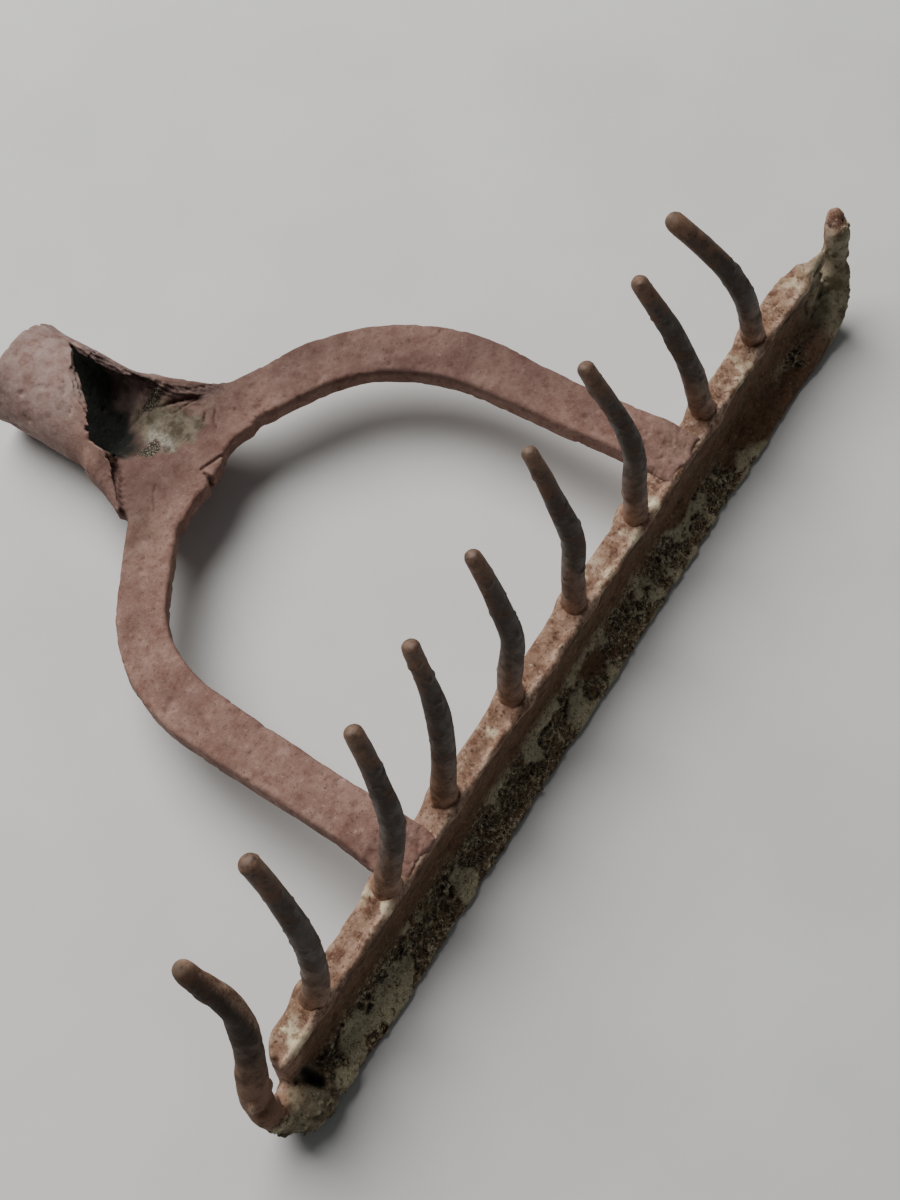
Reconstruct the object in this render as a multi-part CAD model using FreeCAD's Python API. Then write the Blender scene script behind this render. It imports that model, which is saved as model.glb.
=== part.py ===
import FreeCAD, Part
import math
import os

# Hand-forged garden rake head, millimetres, +Z up, tines up.
# The origin is the centre of the socket mouth. +Y runs along the socket axis into the head, and
# +X runs along the tine bar towards its whole end tine.

# --- driving dimensions -----------------------------------------------------------------------
SOCKET_R = 19.0                 # outer radius of the rolled socket
SOCKET_WALL = 3.0
BORE_R = SOCKET_R - SOCKET_WALL
BARREL_LENGTH = 50.0            # round part of the socket
SEAM_WIDTH = 1.2                # gap of the rolled seam
SEAM_ANGLE = 112.0              # degrees round from +X
FLOOR_Z = -SOCKET_R             # surface that the head lies on

TONGUE_HALF_WIDTH = 17.0
TONGUE_START = 58.0
TONGUE_END = 86.0
TONGUE_THICKNESS = 6.5
TONGUE_SEAT = 2.0               # how far the arms are let into the tongue
TONGUE_CORNER_R = 12.0          # corners of the tongue's front edge
THROAT_END = 68.0               # how far the hollow of the socket reaches into the bow
THROAT_END_R = 4.0
THROAT_HEADROOM = 1.0           # the opening's cut goes this far above the barrel

ARM_THICKNESS = 8.5
ARM_EDGE_R = 2.4                # hammered round edges of the flat bar
ARM_ROOT_Y = 63.0               # where the two arm centre lines meet, on the head's middle
ARM_RISE = 4.9                  # degrees that the bow climbs towards the tine bar
ARM_ROOT_Z = -1.6               # underside of the arms at their root

# Each arm: its side, degrees between its first run and the X axis, radius of its bend, where its
# last run meets the line of the tines, degrees that this run splays outwards, and its width.
ARMS = {
    "bow_arm_near": dict(side=1, spread=31.5, bend_r=50.0, end_x=84.5, splay=3.5, width=18.4),
    "bow_arm_far": dict(side=-1, spread=28.5, bend_r=68.0, end_x=84.0, splay=1.0, width=19.2),
}

RIB_Y = 219.0                   # line of the tine holes
RIB_WIDTH = 10.5
RIB_TOP_Z = 16.0
RIB_DEPTH = 14.0                # straight inner face below the top
WEB_INNER_Y = 219.5             # inner face of the web, at the bottom
FACE_BEND_R = 16.0              # hollow of the outer face
FACE_BEND = 68.0                # degrees that the outer face turns on its way to the foot
FOOT_EDGE_Y = 238.0
FOOT_EDGE_R = 2.0
FOOT_STEP = 1.0                 # the hollow ends this far above the foot's rounded edge
ARM_END_Y = RIB_Y + 3.8         # the arm ends stop behind the rib's outer lip
BAR_END_WHOLE = 155.0           # straight part of the bar, on the whole tine's side
BAR_END_BROKEN = -180.0

TINE_R = 4.1
TINE_TIP_R = 2.8
TINE_DEPTH = 13.0               # shank inside the rib
HOLE_GAP = 0.05
HOLE_HEADROOM = 5.0             # the hole's cut goes this far above the rib
TINE_SECTIONS = 9
TINE_LOOK_BACK = 0.02           # share of the height over which a tine's direction is taken
TIP_STEPS = (0.6, 1.2)          # radians round the tip at its last two sections
TINY = 1e-6                     # lengths below this count as nothing

# Each tine: place along the bar, height above the rib, reach towards the socket, sideways lean,
# and how late the bend comes (a larger number bends nearer the tip).
TINES = {
    2: dict(x=135.5, height=73.0, reach=21.0, lean=-8.5, bend=2.8),
    3: dict(x=96.0, height=74.0, reach=18.0, lean=-13.0, bend=2.6),
    4: dict(x=61.5, height=77.0, reach=17.0, lean=-8.0, bend=1.9),
    5: dict(x=21.5, height=75.0, reach=19.0, lean=-1.0, bend=2.5),
    6: dict(x=-17.0, height=75.0, reach=23.0, lean=-1.0, bend=2.2),
    7: dict(x=-56.0, height=74.0, reach=24.0, lean=2.0, bend=2.2),
    8: dict(x=-106.0, height=67.0, reach=28.0, lean=11.0, bend=1.4),
    9: dict(x=-142.0, height=63.0, reach=33.0, lean=17.0, bend=2.6),
}

# Ends of the bar, drawn out and curled up. Each section: centre, half width across the bar and
# half thickness along the iron's turn.
WHOLE_END = [
    ((146.0, 228.0, -9.5), 9.5, 9.0),
    ((159.0, 227.5, -9.5), 9.0, 7.5),
    ((167.0, 225.0, 0.0), 7.2, 5.6),
    ((167.2, 221.0, 16.0), 5.5, 4.9),
    ((162.5, 217.5, 34.0), 4.8, 4.7),
    ((158.6, 214.0, 53.0), 4.4, 4.3),
    ((157.8, 208.0, 66.0), 4.0, 3.9),
    ((158.8, 200.5, 76.5), 3.2, 3.1),
    ((159.2, 198.6, 79.0), 2.0, 1.9),
]
BROKEN_END = [
    ((-170.0, 228.0, -9.5), 9.5, 9.0),
    ((-184.0, 228.5, -8.5), 9.2, 7.0),
    ((-192.0, 228.0, 3.0), 8.0, 5.2),
    ((-193.0, 225.5, 17.0), 6.2, 4.9),
    ((-190.5, 222.5, 30.0), 4.9, 4.8),
]

# The trough that carries the barrel's sheet into the flat of the bow. Each section: place along
# the socket, outer radius, lowest point, and the two angles from +X that it is open between.
TROUGH = [
    (50.0, 19.0, -19.0, 46.0, 164.0),
    (58.0, 19.0, -16.0, 26.0, 172.0),
    (70.0, 25.0, -9.0, -30.0, 210.0),
]

# Plan of the throat's opening in the rolled sheet: the edge of the ear that wraps over from the
# +X side, then the edge of the ear on the -X side.
THROAT_PLAN = [
    (-11.0, 17.0), (-3.4, 24.5), (2.0, 30.4), (6.1, 36.0), (9.8, 44.0), (13.2, 50.0),
    (13.2, 51.0), (-17.3, 51.0), (-17.3, 36.0), (-15.0, 24.0),
]


def vec(x, y, z=0.0):
    return FreeCAD.Vector(x, y, z)


def polyline(points):
    return [Part.LineSegment(a, b).toShape() for a, b in zip(points[:-1], points[1:])]


def save(shape, name):
    """Write one node, after a check that every solid in it is valid."""
    if not shape.isValid():
        print("NOT VALID", name)
    print(f"{name:16s} solids {len(shape.Solids)}  volume {shape.Volume / 1000:8.2f} cm3")
    shape.exportStep(f"parts/{name}.step")


# --- tines ------------------------------------------------------------------------------------
def tine_point(tine, t):
    """Centre line of a tine above the rib, from t = 0 at the rib to t = 1 at the tip."""
    return vec(
        tine["x"] + tine["lean"] * t,
        RIB_Y - tine["reach"] * t ** tine["bend"],
        RIB_TOP_Z + tine["height"] * t,
    )


def ring(centre, direction, radius):
    return Part.Wire(Part.Circle(centre, direction, radius).toShape())


def make_tine(tine):
    """A round shank, then a bent and slightly tapered tine that ends in a blunt rounded tip."""
    up = vec(0, 0, 1)
    shank = Part.makeCylinder(TINE_R, TINE_DEPTH, vec(tine["x"], RIB_Y, RIB_TOP_Z - TINE_DEPTH))
    rings = [ring(tine_point(tine, 0.0), up, TINE_R)]
    for i in range(1, TINE_SECTIONS):
        t = i / (TINE_SECTIONS - 1)
        along = tine_point(tine, t) - tine_point(tine, t - TINE_LOOK_BACK)
        radius = TINE_R + (TINE_TIP_R - TINE_R) * t * t
        rings.append(ring(tine_point(tine, t), along, radius))
    along.normalize()
    for share in TIP_STEPS:
        centre = tine_point(tine, 1.0) + along * (TINE_TIP_R * math.sin(share))
        rings.append(ring(centre, along, TINE_TIP_R * math.cos(share)))
    body = Part.makeLoft(rings, True, False)
    return shank.fuse(body)


# --- tine bar ---------------------------------------------------------------------------------
def bar_section(x):
    """Outline across the bar: thick rib on top, hollow outer face running out into a foot."""
    inner = RIB_Y - RIB_WIDTH / 2
    outer = RIB_Y + RIB_WIDTH / 2
    turn = math.radians(FACE_BEND)
    bend_z = FLOOR_Z + 2 * FOOT_EDGE_R + FOOT_STEP + FACE_BEND_R * math.sin(turn)
    middle = vec(x, outer + FACE_BEND_R, bend_z)

    def on_bend(angle):
        return middle + vec(0, -FACE_BEND_R * math.cos(angle), -FACE_BEND_R * math.sin(angle))

    top_outer = vec(x, outer, RIB_TOP_Z)
    bend_start = on_bend(0.0)
    bend_end = on_bend(turn)
    edge_top = vec(x, FOOT_EDGE_Y - FOOT_EDGE_R, FLOOR_Z + 2 * FOOT_EDGE_R)
    edge_side = vec(x, FOOT_EDGE_Y, FLOOR_Z + FOOT_EDGE_R)
    edge_low = vec(x, FOOT_EDGE_Y - FOOT_EDGE_R, FLOOR_Z)
    edges = polyline([top_outer, bend_start])
    edges.append(Part.Arc(bend_start, on_bend(turn / 2), bend_end).toShape())
    edges += polyline([bend_end, edge_top])
    edges.append(Part.Arc(edge_top, edge_side, edge_low).toShape())
    edges += polyline([
        edge_low,
        vec(x, WEB_INNER_Y, FLOOR_Z),
        vec(x, inner, RIB_TOP_Z - RIB_DEPTH),
        vec(x, inner, RIB_TOP_Z),
        top_outer,
    ])
    return Part.Face(Part.Wire(edges))


def end_wires(sections):
    """Ovals across a drawn-out end, each facing along the iron at its place."""
    centres = [vec(*section[0]) for section in sections]
    wires = []
    for i, (_, half_width, half_thickness) in enumerate(sections):
        facing = centres[min(i + 1, len(centres) - 1)] - centres[max(i - 1, 0)]
        facing.normalize()
        across = vec(0, 1, 0)
        across = across - facing * across.dot(facing)
        oval = Part.Ellipse(centres[i], half_width, half_thickness)
        oval.Axis = facing
        oval.XAxis = across
        wires.append(Part.Wire(oval.toShape()))
    return wires


def drawn_out_end(stations):
    """One end of the bar, drawn out towards its tine and flat where it lies on the floor."""
    end = Part.makeLoft(end_wires(stations), True, False)
    box = end.BoundBox
    below = Part.makeBox(
        box.XLength, box.YLength, FLOOR_Z - box.ZMin,
        vec(box.XMin, box.YMin, box.ZMin),
    )
    return end.cut(below)


def make_tine_bar():
    straight = bar_section(BAR_END_BROKEN).extrude(vec(BAR_END_WHOLE - BAR_END_BROKEN, 0, 0))
    return straight.fuse([drawn_out_end(stations) for stations in (WHOLE_END, BROKEN_END)])


def tine_hole(tine):
    """A blind hole in the rib. The shank stands on its floor."""
    return Part.makeCylinder(
        TINE_R + HOLE_GAP, TINE_DEPTH + HOLE_HEADROOM,
        vec(tine["x"], RIB_Y, RIB_TOP_Z - TINE_DEPTH),
    )


# --- bow --------------------------------------------------------------------------------------
def runs_along_arm(box):
    """True for the long flat edges of an arm, not for its ends and corners."""
    return box.ZLength < TINY and box.XLength > TINY and box.YLength > ARM_EDGE_R


def make_arm(side, spread, bend_r, end_x, splay, width):
    """One flat-bar arm: a sloping run from the middle, a wide bend, and a run to the tine bar."""
    first, last = math.radians(spread), math.radians(splay)
    half = width / 2
    out_first = vec(math.sin(first), -math.cos(first))
    out_last = vec(math.cos(last), -math.sin(last))
    # the bend's centre lies one bend radius inside both runs
    first_offset = out_first.dot(vec(0, ARM_ROOT_Y)) - bend_r
    last_offset = out_last.dot(vec(end_x, RIB_Y)) - bend_r
    turn = out_first.x * out_last.y - out_first.y * out_last.x
    centre = vec(
        (first_offset * out_last.y - last_offset * out_first.y) / turn,
        (last_offset * out_first.x - first_offset * out_last.x) / turn,
    )
    out_middle = out_first + out_last
    out_middle.normalize()

    def bend(radius):
        return Part.Arc(*[centre + d * radius for d in (out_first, out_middle, out_last)]).toShape()

    def ends(offset):
        """Where one long edge meets the head's middle and the end cut at the bar."""
        root = vec(0, ARM_ROOT_Y - offset / math.cos(first))
        reach = end_x + (ARM_END_Y - RIB_Y) * math.tan(last)
        return root, vec(reach + offset / math.cos(last), ARM_END_Y)

    outer_root, outer_end = ends(half)
    inner_root, inner_end = ends(-half)
    edges = [bend(bend_r + half), bend(bend_r - half)]
    edges += polyline([outer_root, centre + out_first * (bend_r + half)])
    edges += polyline([centre + out_last * (bend_r + half), outer_end, inner_end])
    edges += polyline([inner_end, centre + out_last * (bend_r - half)])
    edges += polyline([centre + out_first * (bend_r - half), inner_root, outer_root])
    arm = Part.Face(Part.Wire(Part.__sortEdges__(edges))).extrude(vec(0, 0, ARM_THICKNESS))
    arm = arm.makeFillet(ARM_EDGE_R, [e for e in arm.Edges if runs_along_arm(e.BoundBox)])
    arm.rotate(vec(0, ARM_ROOT_Y, 0), vec(1, 0, 0), ARM_RISE)
    arm.translate(vec(0, 0, ARM_ROOT_Z))
    return arm if side > 0 else arm.mirror(vec(0, 0, 0), vec(1, 0, 0))


# --- socket -----------------------------------------------------------------------------------
def trough_section(y, radius, low_z, open_from, open_to):
    """A C-shaped section of the rolled sheet, open on top between two angles from +X."""
    middle = vec(0, y, low_z + radius)

    def at(r, angle):
        return middle + vec(r * math.cos(angle), 0, r * math.sin(angle))

    start = math.radians(open_to)
    stop = math.radians(open_from + 360.0)
    inside = radius - SOCKET_WALL
    half_way = (start + stop) / 2
    edges = [
        Part.Arc(at(radius, start), at(radius, half_way), at(radius, stop)).toShape(),
        Part.LineSegment(at(radius, stop), at(inside, stop)).toShape(),
        Part.Arc(at(inside, stop), at(inside, half_way), at(inside, start)).toShape(),
        Part.LineSegment(at(inside, start), at(radius, start)).toShape(),
    ]
    return Part.Wire(edges)


def barrel_cylinder(radius):
    return Part.makeCylinder(radius, BARREL_LENGTH, vec(0, 0, 0), vec(0, 1, 0))


def throat_hollow():
    """The bore, and the taper beyond it that the handle's end points into."""
    taper = Part.makeCone(
        BORE_R, THROAT_END_R, THROAT_END - BARREL_LENGTH, vec(0, BARREL_LENGTH, 0), vec(0, 1, 0)
    )
    return barrel_cylinder(BORE_R).fuse(taper)


def make_socket():
    """Rolled barrel with its seam and slanting throat, a trough, and a flat tongue."""
    barrel = barrel_cylinder(SOCKET_R).cut(barrel_cylinder(BORE_R))
    seam = Part.makeBox(
        2 * SOCKET_WALL, BARREL_LENGTH, SEAM_WIDTH,
        vec(BORE_R - SOCKET_WALL / 2, 0, -SEAM_WIDTH / 2),
    )
    seam.rotate(vec(0, 0, 0), vec(0, 1, 0), -SEAM_ANGLE)
    plan = Part.Wire(polyline([vec(x, y) for x, y in THROAT_PLAN + THROAT_PLAN[:1]]))
    throat = Part.Face(plan).extrude(vec(0, 0, SOCKET_R + THROAT_HEADROOM))
    barrel = barrel.cut(seam).cut(throat)
    trough = Part.makeLoft([trough_section(*section) for section in TROUGH], True, True)
    tongue = Part.makeBox(
        2 * TONGUE_HALF_WIDTH, TONGUE_END - TONGUE_START, TONGUE_THICKNESS,
        vec(-TONGUE_HALF_WIDTH, TONGUE_START, ARM_ROOT_Z + TONGUE_SEAT - TONGUE_THICKNESS),
    )
    front_corners = [
        e for e in tongue.Edges
        if e.BoundBox.ZLength > TONGUE_THICKNESS / 2 and e.BoundBox.YMin > TONGUE_END - TINY
    ]
    tongue = tongue.makeFillet(TONGUE_CORNER_R, front_corners).cut(throat_hollow())
    return barrel.fuse([trough, tongue])


def main():
    os.makedirs("parts", exist_ok=True)
    bar = make_tine_bar()
    arms = {name: make_arm(**sizes) for name, sizes in ARMS.items()}
    socket = make_socket()
    for name, arm in arms.items():
        bar = bar.cut(arm)
        arms[name] = arm.cut(socket).cut(throat_hollow())
    for number, tine in TINES.items():
        bar = bar.cut(tine_hole(tine))
        save(make_tine(tine), f"tine_{number}")
    for name, arm in arms.items():
        save(arm, name)
    save(bar, "tine_bar")
    save(socket, "socket")


main()
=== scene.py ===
import math

import bpy
import numpy as np
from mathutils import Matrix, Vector


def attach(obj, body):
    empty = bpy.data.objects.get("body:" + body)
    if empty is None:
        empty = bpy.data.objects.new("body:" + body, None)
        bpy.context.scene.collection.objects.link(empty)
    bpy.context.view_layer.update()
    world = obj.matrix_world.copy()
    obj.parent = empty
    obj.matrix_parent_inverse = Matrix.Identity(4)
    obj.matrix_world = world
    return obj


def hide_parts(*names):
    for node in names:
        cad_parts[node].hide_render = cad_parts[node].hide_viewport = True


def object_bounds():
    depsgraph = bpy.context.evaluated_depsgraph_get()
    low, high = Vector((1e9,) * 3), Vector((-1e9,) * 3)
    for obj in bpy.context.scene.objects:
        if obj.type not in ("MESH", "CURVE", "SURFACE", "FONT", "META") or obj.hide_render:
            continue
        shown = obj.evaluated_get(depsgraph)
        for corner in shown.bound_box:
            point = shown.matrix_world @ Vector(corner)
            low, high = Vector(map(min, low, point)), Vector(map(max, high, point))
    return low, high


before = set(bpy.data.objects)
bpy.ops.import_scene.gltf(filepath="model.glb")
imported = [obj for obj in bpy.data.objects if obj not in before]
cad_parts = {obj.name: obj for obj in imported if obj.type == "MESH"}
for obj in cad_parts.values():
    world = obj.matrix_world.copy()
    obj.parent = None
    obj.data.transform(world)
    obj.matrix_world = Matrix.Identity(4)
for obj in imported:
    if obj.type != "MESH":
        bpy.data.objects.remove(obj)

CAD_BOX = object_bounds()

# Lengths in this script are millimetres in the row frame, until a mesh is made.
MM = 0.001
CELL_BAR = 0.76
CELL_ARM = 0.45
CELL_SOCKET = 0.47
TINE_RINGS = 240
TINE_SIDES = 56
BLOCKS_AT_ONCE = 1500
BOX_MARGIN = 0.02

# --- driving dimensions, as in the CAD model ---
SOCKET_R = 19.0
SOCKET_WALL = 3.0
BORE_R = SOCKET_R - SOCKET_WALL
FLOOR_Z = -SOCKET_R
ARM_THICKNESS = 8.5
ARM_EDGE_R = 1.6
ARM_ROOT_Y = 63.0
ARM_ROOT_Z = -1.6
ARM_RISE = math.radians(4.9)
RIB_Y = 219.0
RIB_HALF = 5.25
RIB_TOP_Z = 16.0
FOOT_EDGE_Y = 238.0
TINE_R = 4.1
TINE_THINNING = 0.3
TINE_IN_RIB = 12.0
FLARE = 1.0
FLARE_HEIGHT = 1.7

# As in the CAD model, then the hand-made unevenness of the bend: how far it stands out and how much
# wider it is, at which Y and over what length.
ARMS = {
    "near": dict(side=1, spread=31.5, bend_r=50.0, end_x=84.5, splay=3.5, width=18.4,
                 uneven=(1.3, -0.8, 100.0, 17.0)),
    "far": dict(side=-1, spread=28.5, bend_r=68.0, end_x=84.0, splay=1.0, width=19.2,
                uneven=(1.9, 2.0, 106.0, 38.0)),
}

# Each tine as in the CAD model, then its own tip radius and its small hand-made bends: how far it
# strays along X and along Y at these shares of its height.
STRAY_AT = (0.0, 0.12, 0.3, 0.5, 0.7, 0.9, 1.0)
TINE_COLUMNS = ("x", "height", "reach", "lean", "bend", "tip", "stray_x", "stray_y")
TINE_ROWS = {
    2: (135.5, 73, 21, -8.5, 2.8, 3.2,
        (0, -0.4, -0.5, -0.4, 0.1, 0.7, 0.9), (0, 0.7, 0.5, 0.4, -0.1, -0.2, -0.2)),
    3: (96, 74, 18, -13, 2.6, 2.8,
        (0, 0.2, -0.3, -1, -0.6, -0.4, -0.4), (0, -0.4, 0.6, 1.1, 0.5, 0.2, 0.2)),
    4: (61.5, 77, 17, -8, 1.9, 2.7,
        (0.5, 0.9, 0.7, 0.1, 0, 0.3, 0.4), (-0.7, -1.3, -0.7, -0.1, 0.1, -0.3, -0.3)),
    5: (21.5, 75, 19, -1, 2.5, 2.7,
        (0.3, 0.9, 0.7, -0.6, -0.3, -0.5, -0.5), (-0.8, -1.7, -1, 0.5, 0.1, 0.3, 0.3)),
    6: (-17, 75, 23, -1, 2.2, 2.6,
        (0.3, 0.6, 0.8, -0.8, -0.2, -0.2, -0.2), (-0.5, -1, -0.9, 0.6, 0.1, 0.2, 0.2)),
    7: (-56, 74, 24, 2, 2.2, 2.7,
        (0, 0.1, 0.3, -1.1, -0.9, 0.6, 0.6), (0, -0.2, -0.4, 1, 0.6, -0.2, -0.2)),
    8: (-106, 67, 28, 11, 1.4, 3.1,
        (0.6, 1.3, 0.5, 0, -0.1, 0.5, 0.6), (-0.5, -1.1, -0.2, 0, 0.1, -0.1, -0.1)),
    9: (-142, 63, 33, 17, 2.6, 3.4,
        (0.4, 0.8, 0.8, 0.1, -0.4, 0.3, 0.5), (-0.6, -1.1, -0.8, 0, 0.1, 0, 0)),
}
TINES = {number: dict(zip(TINE_COLUMNS, row)) for number, row in TINE_ROWS.items()}


# --- noise ---
def lattice(x, y, z, seed):
    """Smooth value noise from -1 to 1 with one bump per unit."""
    ix, iy, iz = (np.floor(v).astype(np.int64) for v in (x, y, z))
    fx, fy, fz = x - ix, y - iy, z - iz
    ex, ey, ez = (f * f * f * (f * (f * 6 - 15) + 10) for f in (fx, fy, fz))
    total = np.zeros(len(x))
    for dx in (0, 1):
        wx = ex if dx else 1 - ex
        for dy in (0, 1):
            wxy = wx * (ey if dy else 1 - ey)
            for dz in (0, 1):
                key = (ix + dx) * 374761393 + (iy + dy) * 668265263 + (iz + dz) * 1440670441
                key = (key + seed * 1274126177) & 0xFFFFFFFF
                key = ((key ^ (key >> 13)) * 1274126177) & 0xFFFFFFFF
                key = (key ^ (key >> 16)) & 0xFFFF
                total += wxy * (ez if dz else 1 - ez) * (key / 32767.5 - 1.0)
    return total


def clouds(x, y, z, size, seed, octaves=3):
    """Several octaves of noise, about -1 to 1. The largest lumps are size millimetres wide."""
    total = np.zeros(len(x))
    weight, whole = 1.0, 0.0
    for i in range(octaves):
        step = 2.0 ** i / size
        # each octave is turned a little, so that the lattice never shows
        u = 0.80 * x + 0.60 * y + 17.3 * i
        v = -0.48 * x + 0.64 * y + 0.60 * z - 9.1 * i
        w = 0.36 * x - 0.48 * y + 0.80 * z + 5.7 * i
        total += weight * lattice(u * step, v * step, w * step, seed + i)
        whole += weight
        weight *= 0.5
    return total / whole * 1.5


def rise(value, low, high):
    """Smooth step from 0 at low to 1 at high."""
    t = np.clip((value - low) / (high - low), 0.0, 1.0)
    return t * t * (3 - 2 * t)


def bump(value, middle, width):
    """Smooth bump of height 1."""
    return np.exp(-(((value - middle) / width) ** 2))


# --- distance fields ---
def smooth_min(a, b, k):
    h = np.clip(0.5 + 0.5 * (b - a) / k, 0.0, 1.0)
    return b * (1 - h) + a * h - k * h * (1 - h)


def smooth_max(a, b, k):
    return -smooth_min(-a, -b, k)


def polygon_distance(px, py, corners):
    """Signed distance in a plane, negative inside the polygon."""
    nearest = np.full(len(px), 1e9)
    sign = np.ones(len(px))
    count = len(corners)
    for i in range(count):
        ax, ay = corners[i]
        bx, by = corners[i - 1]
        ex, ey = bx - ax, by - ay
        wx, wy = px - ax, py - ay
        t = np.clip((wx * ex + wy * ey) / (ex * ex + ey * ey), 0.0, 1.0)
        nearest = np.minimum(nearest, (wx - ex * t) ** 2 + (wy - ey * t) ** 2)
        above_a, above_b, left = py >= ay, py < by, ex * wy > ey * wx
        flip = (above_a & above_b & left) | (~above_a & ~above_b & ~left)
        sign = np.where(flip, -sign, sign)
    return sign * np.sqrt(nearest)


def smooth_path(stations, pieces=5):
    """Catmull-Rom points through the stations; each row is centre x, y, z and two half sizes."""
    rows = np.array([list(c) + [a, b] for c, a, b in stations])
    padded = np.vstack([2 * rows[0] - rows[1], rows, 2 * rows[-1] - rows[-2]])
    out = []
    for p0, p1, p2, p3 in zip(padded[:-3], padded[1:-2], padded[2:-1], padded[3:]):
        for i in range(pieces):
            t = i / pieces
            out.append(0.5 * (2 * p1 + (p2 - p0) * t + (2 * p0 - 5 * p1 + 4 * p2 - p3) * t * t
                              + (3 * p1 - p0 - 3 * p2 + p3) * t ** 3))
    out.append(rows[-1])
    return np.array(out)


def strand(x, y, z, rows):
    """Distance to an oval bar drawn along a path. The wide side of the oval lies across, in Y."""
    best = np.full(len(x), 1e9)
    for a, b in zip(rows[:-1], rows[1:]):
        along = b[:3] - a[:3]
        length2 = along @ along
        t = ((x - a[0]) * along[0] + (y - a[1]) * along[1] + (z - a[2]) * along[2]) / length2
        t = np.clip(t, 0.0, 1.0)
        rx, ry, rz = (v - (a[i] + along[i] * t) for i, v in enumerate((x, y, z)))
        tangent = along / math.sqrt(length2)
        across = np.array([0.0, 1.0, 0.0]) - tangent * tangent[1]
        across /= np.linalg.norm(across)
        thick = np.cross(tangent, across)
        u = rx * across[0] + ry * across[1] + rz * across[2]
        w = rx * thick[0] + ry * thick[1] + rz * thick[2]
        s = rx * tangent[0] + ry * tangent[1] + rz * tangent[2]
        half_across = a[3] + (b[3] - a[3]) * t
        half_thick = a[4] + (b[4] - a[4]) * t
        reach = np.sqrt(u * u + w * w + s * s) + 1e-6
        q = np.sqrt((u / half_across) ** 2 + (w / half_thick) ** 2 + (s / half_thick) ** 2) + 1e-6
        best = np.minimum(best, reach * (1 - 1 / q))
    return best


# --- fields into meshes ---
def surface_net(field, low, cell):
    """Vertices and outward quads of the zero level of a gridded distance field."""
    inside = field < 0
    spots, homes, flips = [], [], []
    shape = np.array(field.shape)
    stride = np.array([shape[1] * shape[2], shape[2], 1])
    for axis in range(3):
        step = np.zeros(3, int)
        step[axis] = 1
        first = tuple(slice(0, -1) if i == axis else slice(None) for i in range(3))
        second = tuple(slice(1, None) if i == axis else slice(None) for i in range(3))
        index = np.argwhere(inside[first] != inside[second])
        d0 = field[tuple(index.T)]
        d1 = field[tuple((index + step).T)]
        spots.append(index + (d0 / (d0 - d1))[:, None] * step)
        b, c = np.zeros(3, int), np.zeros(3, int)
        b[(axis + 1) % 3] = 1
        c[(axis + 2) % 3] = 1
        corners = [index, index - b, index - b - c, index - c]
        homes.append(np.stack([corner @ stride for corner in corners], axis=1))
        flips.append(d0 > 0)
    homes = np.concatenate(homes)
    spots = np.repeat(np.concatenate(spots), 4, axis=0)
    flips = np.concatenate(flips)
    _, number = np.unique(homes.ravel(), return_inverse=True)
    number = number.ravel()
    count = np.bincount(number)
    verts = np.stack([np.bincount(number, spots[:, i]) / count for i in range(3)], axis=1)
    quads = number.reshape(-1, 4)
    quads[flips] = quads[flips][:, ::-1]
    return verts * cell + low, quads


def polygonise(shape, relief, low, high, cell, block=8, band=3.2):
    """Mesh of shape + relief. Only blocks of the grid near the surface are worked out."""
    low = np.array(low, float)
    blocks = np.ceil((np.array(high) - low) / (cell * block)).astype(int)
    size = cell * block
    centres = np.stack(np.meshgrid(*[np.arange(n) for n in blocks], indexing="ij"), -1)
    centres = centres.reshape(-1, 3)
    middle = low + (centres + 0.5) * size
    coarse = shape(*middle.T)
    active = np.abs(coarse) < size * 1.05 + band
    field = np.repeat(coarse.reshape(blocks).astype(np.float32), block, axis=0)
    field = np.repeat(np.repeat(field, block, axis=1), block, axis=2)
    steps = np.stack(np.meshgrid(*[np.arange(block)] * 3, indexing="ij"), -1).reshape(-1, 3)
    for part in np.array_split(centres[active], max(1, int(active.sum()) // BLOCKS_AT_ONCE)):
        index = (part[:, None, :] * block + steps[None]).reshape(-1, 3)
        points = low + index * cell
        d = shape(*points.T)
        near = np.abs(d) < band
        d[near] += relief(*points[near].T)
        field[tuple(index.T)] = d
    return surface_net(field, low, cell)


def vertex_normals(verts, quads):
    a, b, c, d = (verts[quads[:, i]] for i in range(4))
    face = np.cross(c - a, d - b)
    normals = np.zeros_like(verts)
    for i in range(4):
        for axis in range(3):
            normals[:, axis] += np.bincount(quads[:, i], face[:, axis], len(verts))
    return normals / (np.linalg.norm(normals, axis=1, keepdims=True) + 1e-12)


def hollows(verts, quads, passes):
    """How far each vertex lies below its surroundings, in millimetres: a broad curvature."""
    ends = np.concatenate([quads[:, [i, (i + 1) % 4]] for i in range(4)])
    count = np.bincount(ends[:, 0], minlength=len(verts)) + 1e-9
    smooth = verts
    for _ in range(passes):
        smooth = np.stack([
            np.bincount(ends[:, 0], smooth[ends[:, 1], i], len(verts)) / count for i in range(3)
        ], axis=1)
    return ((smooth - verts) * vertex_normals(verts, quads)).sum(axis=1)


def add_object(name, data):
    thing = bpy.data.objects.new(name, data)
    bpy.context.scene.collection.objects.link(thing)
    return thing


def make_piece(name, verts, quads, layers):
    """A Blender object from millimetre vertices, with float layers for its material."""
    mesh = bpy.data.meshes.new(name)
    low, high = (np.array(corner) / MM for corner in CAD_BOX)
    verts = np.clip(verts, low + BOX_MARGIN, high - BOX_MARGIN)
    mesh.from_pydata((verts * MM).tolist(), [], quads if isinstance(quads, list) else quads.tolist())
    mesh.validate()
    mesh.polygons.foreach_set("use_smooth", [True] * len(mesh.polygons))
    for layer, values in layers.items():
        attribute = mesh.attributes.new(layer, "FLOAT", "POINT")
        attribute.data.foreach_set("value", values.astype(np.float32))
    return add_object(name, mesh)


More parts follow.
